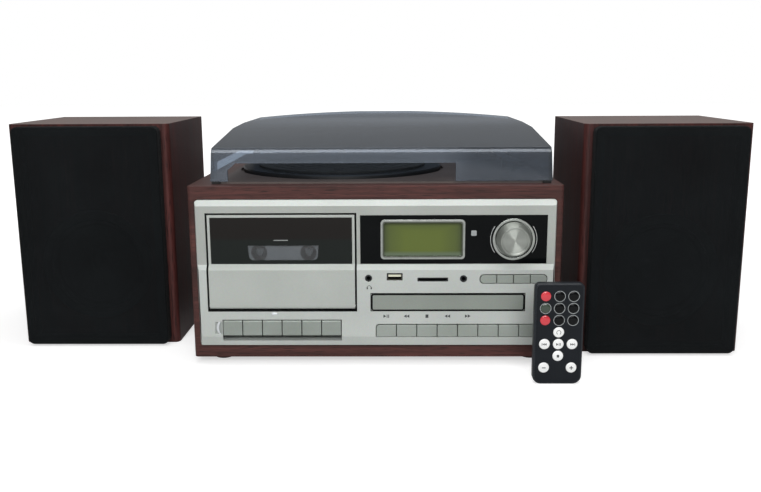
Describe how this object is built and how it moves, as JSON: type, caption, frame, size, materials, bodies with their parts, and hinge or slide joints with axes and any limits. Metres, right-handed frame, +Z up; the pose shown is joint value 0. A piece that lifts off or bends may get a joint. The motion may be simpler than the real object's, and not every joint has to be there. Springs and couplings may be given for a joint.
{
  "type": "stereo music centre",
  "caption": "Wooden stereo music centre with a turntable under a smoked cover, cassette deck, disc tray, display, separate speakers and a card remote",
  "frame": {"origin": "middle of the whole set's footprint, on the surface that it stands on", "axes": "+X to the right when facing the front, -Y out of the front, +Z up"},
  "size_m": [0.6644, 0.3522, 0.2079],
  "materials": {
    "mahogany": "satin",
    "speaker_wood": "satin",
    "hardboard": "matt",
    "silver_plastic": "satin",
    "grey_plastic": "satin",
    "black_acrylic": "glossy",
    "bright_trim": "glossy",
    "lcd": "satin",
    "spun_aluminium": "satin",
    "black_plastic": "satin",
    "white_plastic": "satin",
    "rubber": "matt",
    "mat_rubber": "matt",
    "smoked_acrylic": "glossy",
    "steel": "satin",
    "black_steel": "satin",
    "brass": "satin",
    "circuit_board": "satin",
    "grille_cloth": "matt",
    "driver_paper": "matt",
    "remote_plastic": "satin",
    "remote_membrane": "satin"
  },
  "bodies": {
    "main_unit": {"cabinet": "mahogany", "rear_cover": "hardboard", "front_panel": "silver_plastic", "display_window": "black_acrylic", "display_trim": "bright_trim", "lcd_panel": "lcd", "front_sockets": "black_plastic", "feet": "rubber", "turntable_deck": "black_plastic", "turntable_motor": "steel", "drive_belt": "rubber", "cassette_chassis": "steel", "cd_loader": "black_plastic", "control_board": "circuit_board", "main_board": "circuit_board", "transformer": "steel", "rear_sockets": "black_plastic", "screws": "black_steel"},
    "cover": {"dust_cover": "smoked_acrylic"},
    "turntable_platter": {"platter": "black_plastic", "platter_mat": "mat_rubber"},
    "pulley": {"motor_pulley": "brass"},
    "pivot": {"arm_pivot": "black_plastic"},
    "arm": {"tonearm": "black_plastic"},
    "lever": {"cue_lever": "black_plastic"},
    "speed_slider": {"speed_switch": "white_plastic"},
    "auto_stop_slider": {"auto_stop_switch": "white_plastic"},
    "deck_door": {"cassette_door": "silver_plastic", "cassette_window": "black_acrylic"},
    "supply_reel": {"supply_spindle": "white_plastic"},
    "takeup_reel": {"takeup_spindle": "white_plastic"},
    "tray": {"cd_tray": "grey_plastic"},
    "hub": {"disc_hub": "spun_aluminium"},
    "knob": {"volume_knob": "spun_aluminium"},
    "left_speaker": {"left_speaker_box": "speaker_wood", "left_woofer": "driver_paper"},
    "left_grille": {"left_speaker_grille": "grille_cloth"},
    "right_speaker": {"right_speaker_box": "speaker_wood", "right_woofer": "driver_paper"},
    "right_grille": {"right_speaker_grille": "grille_cloth"},
    "remote": {"remote_case": "remote_plastic", "remote_keypad": "remote_membrane"},
    "key_1": {"cassette_key_1": "grey_plastic"},
    "key_2": {"cassette_key_2": "grey_plastic"},
    "key_3": {"cassette_key_3": "grey_plastic"},
    "key_4": {"cassette_key_4": "grey_plastic"},
    "key_5": {"cassette_key_5": "grey_plastic"},
    "key_6": {"cassette_key_6": "grey_plastic"},
    "main_push_1": {"main_button_1": "grey_plastic"},
    "main_push_2": {"main_button_2": "grey_plastic"},
    "main_push_3": {"main_button_3": "grey_plastic"},
    "main_push_4": {"main_button_4": "grey_plastic"},
    "main_push_5": {"main_button_5": "grey_plastic"},
    "main_push_6": {"main_button_6": "grey_plastic"},
    "main_push_7": {"main_button_7": "grey_plastic"},
    "main_push_8": {"main_button_8": "grey_plastic"},
    "function_push_1": {"function_button_1": "grey_plastic"},
    "function_push_2": {"function_button_2": "grey_plastic"},
    "function_push_3": {"function_button_3": "grey_plastic"},
    "function_push_4": {"function_button_4": "grey_plastic"}
  },
  "joints": [
    {"name": "lid_hinge", "type": "hinge", "parent": "main_unit", "child": "cover", "pos_m": [0.00825, 0.16915, 0.1635], "axis": [-1, 0, 0], "range_deg": [0, 75]},
    {"name": "platter_spin", "type": "hinge", "parent": "main_unit", "child": "turntable_platter", "pos_m": [-0.03175, 0.00815, 0.1575], "axis": [0, 0, 1], "continuous": true},
    {"name": "pulley_spin", "type": "hinge", "parent": "main_unit", "child": "pulley", "pos_m": [-0.09892, -0.03888, 0.1475], "axis": [0, 0, 1], "continuous": true},
    {"name": "arm_swing", "type": "hinge", "parent": "main_unit", "child": "pivot", "pos_m": [0.12525, 0.11815, 0.172], "axis": [0, 0, -1], "range_deg": [0, 40]},
    {"name": "arm_lift", "type": "hinge", "parent": "pivot", "child": "arm", "pos_m": [0.12525, 0.11815, 0.172], "axis": [-1, 0, 0], "range_deg": [0, 2.6]},
    {"name": "cue_lever_turn", "type": "hinge", "parent": "main_unit", "child": "lever", "pos_m": [0.14025, 0.08615, 0.166], "axis": [-1, 0, 0], "range_deg": [0, 52]},
    {"name": "cassette_door_hinge", "type": "hinge", "parent": "main_unit", "child": "deck_door", "pos_m": [-0.07545, -0.12685, 0.0537], "axis": [1, 0, 0], "range_deg": [0, 30]},
    {"name": "tray_slide", "type": "slide", "parent": "main_unit", "child": "tray", "axis": [0, -1, 0], "range_m": [0, 0.125]},
    {"name": "knob_turn", "type": "hinge", "parent": "main_unit", "child": "knob", "pos_m": [0.12105, -0.12685, 0.1117], "axis": [0, 1, 0], "continuous": true},
    {"name": "takeup_spin", "type": "hinge", "parent": "main_unit", "child": "takeup_reel", "pos_m": [-0.0542, -0.11585, 0.1], "axis": [0, 1, 0], "continuous": true},
    {"name": "supply_spin", "type": "hinge", "parent": "main_unit", "child": "supply_reel", "pos_m": [-0.0967, -0.11585, 0.1], "axis": [0, 1, 0], "continuous": true},
    {"name": "disc_spin", "type": "hinge", "parent": "main_unit", "child": "hub", "pos_m": [0.0654, -0.05385, 0.0529], "axis": [0, 0, 1], "continuous": true},
    {"name": "speed_switch_slide", "type": "slide", "parent": "main_unit", "child": "speed_slider", "axis": [0, 1, 0], "range_m": [-0.004, 0.004]},
    {"name": "auto_stop_slide", "type": "slide", "parent": "main_unit", "child": "auto_stop_slider", "axis": [0, 1, 0], "range_m": [0, 0.004]},
    {"name": "cassette_key_1_press", "type": "hinge", "parent": "main_unit", "child": "key_1", "pos_m": [-0.12085, -0.08385, 0.036], "axis": [1, 0, 0], "range_deg": [0, 3.6], "stiffness_Nm_per_rad": 0.8, "springref_deg": -5.73},
    {"name": "cassette_key_2_press", "type": "hinge", "parent": "main_unit", "child": "key_2", "pos_m": [-0.1037, -0.08385, 0.036], "axis": [1, 0, 0], "range_deg": [0, 3.6], "stiffness_Nm_per_rad": 0.8, "springref_deg": -5.73},
    {"name": "cassette_key_3_press", "type": "hinge", "parent": "main_unit", "child": "key_3", "pos_m": [-0.08655, -0.08385, 0.036], "axis": [1, 0, 0], "range_deg": [0, 3.6], "stiffness_Nm_per_rad": 0.8, "springref_deg": -5.73},
    {"name": "cassette_key_4_press", "type": "hinge", "parent": "main_unit", "child": "key_4", "pos_m": [-0.0694, -0.08385, 0.036], "axis": [1, 0, 0], "range_deg": [0, 3.6], "stiffness_Nm_per_rad": 0.8, "springref_deg": -5.73},
    {"name": "cassette_key_5_press", "type": "hinge", "parent": "main_unit", "child": "key_5", "pos_m": [-0.05225, -0.08385, 0.036], "axis": [1, 0, 0], "range_deg": [0, 3.6], "stiffness_Nm_per_rad": 0.8, "springref_deg": -5.73},
    {"name": "cassette_key_6_press", "type": "hinge", "parent": "main_unit", "child": "key_6", "pos_m": [-0.0351, -0.08385, 0.036], "axis": [1, 0, 0], "range_deg": [0, 3.6], "stiffness_Nm_per_rad": 0.8, "springref_deg": -5.73},
    {"name": "main_button_1_press", "type": "slide", "parent": "main_unit", "child": "main_push_1", "axis": [0, 1, 0], "range_m": [0, 0.0008], "stiffness_N_per_m": 800, "springref_m": -0.0006},
    {"name": "main_button_2_press", "type": "slide", "parent": "main_unit", "child": "main_push_2", "axis": [0, 1, 0], "range_m": [0, 0.0008], "stiffness_N_per_m": 800, "springref_m": -0.0006},
    {"name": "main_button_3_press", "type": "slide", "parent": "main_unit", "child": "main_push_3", "axis": [0, 1, 0], "range_m": [0, 0.0008], "stiffness_N_per_m": 800, "springref_m": -0.0006},
    {"name": "main_button_4_press", "type": "slide", "parent": "main_unit", "child": "main_push_4", "axis": [0, 1, 0], "range_m": [0, 0.0008], "stiffness_N_per_m": 800, "springref_m": -0.0006},
    {"name": "main_button_5_press", "type": "slide", "parent": "main_unit", "child": "main_push_5", "axis": [0, 1, 0], "range_m": [0, 0.0008], "stiffness_N_per_m": 800, "springref_m": -0.0006},
    {"name": "main_button_6_press", "type": "slide", "parent": "main_unit", "child": "main_push_6", "axis": [0, 1, 0], "range_m": [0, 0.0008], "stiffness_N_per_m": 800, "springref_m": -0.0006},
    {"name": "main_button_7_press", "type": "slide", "parent": "main_unit", "child": "main_push_7", "axis": [0, 1, 0], "range_m": [0, 0.0008], "stiffness_N_per_m": 800, "springref_m": -0.0006},
    {"name": "main_button_8_press", "type": "slide", "parent": "main_unit", "child": "main_push_8", "axis": [0, 1, 0], "range_m": [0, 0.0008], "stiffness_N_per_m": 800, "springref_m": -0.0006},
    {"name": "function_button_1_press", "type": "slide", "parent": "main_unit", "child": "function_push_1", "axis": [0, 1, 0], "range_m": [0, 0.0008], "stiffness_N_per_m": 800, "springref_m": -0.0006},
    {"name": "function_button_2_press", "type": "slide", "parent": "main_unit", "child": "function_push_2", "axis": [0, 1, 0], "range_m": [0, 0.0008], "stiffness_N_per_m": 800, "springref_m": -0.0006},
    {"name": "function_button_3_press", "type": "slide", "parent": "main_unit", "child": "function_push_3", "axis": [0, 1, 0], "range_m": [0, 0.0008], "stiffness_N_per_m": 800, "springref_m": -0.0006},
    {"name": "function_button_4_press", "type": "slide", "parent": "main_unit", "child": "function_push_4", "axis": [0, 1, 0], "range_m": [0, 0.0008], "stiffness_N_per_m": 800, "springref_m": -0.0006},
    {"name": "left_speaker_place", "type": "slide", "parent": "main_unit", "child": "left_speaker", "axis": [-1, 0, 0], "range_m": [0, 0.2]},
    {"name": "right_speaker_place", "type": "slide", "parent": "main_unit", "child": "right_speaker", "axis": [1, 0, 0], "range_m": [0, 0.2]},
    {"name": "left_grille_pull", "type": "slide", "parent": "left_speaker", "child": "left_grille", "axis": [0, -1, 0], "range_m": [0, 0.03]},
    {"name": "right_grille_pull", "type": "slide", "parent": "right_speaker", "child": "right_grille", "axis": [0, -1, 0], "range_m": [0, 0.03]},
    {"name": "remote_lift", "type": "slide", "parent": "main_unit", "child": "remote", "axis": [0, 0, 1], "range_m": [0, 0.1]}
  ],
  "couplings": [
    {"joint": "pulley_spin", "follows": "platter_spin", "ratio": 11.5},
    {"joint": "cue_lever_turn", "follows": "arm_lift", "ratio": 20},
    {"joint": "supply_spin", "follows": "takeup_spin", "ratio": 1}
  ]
}
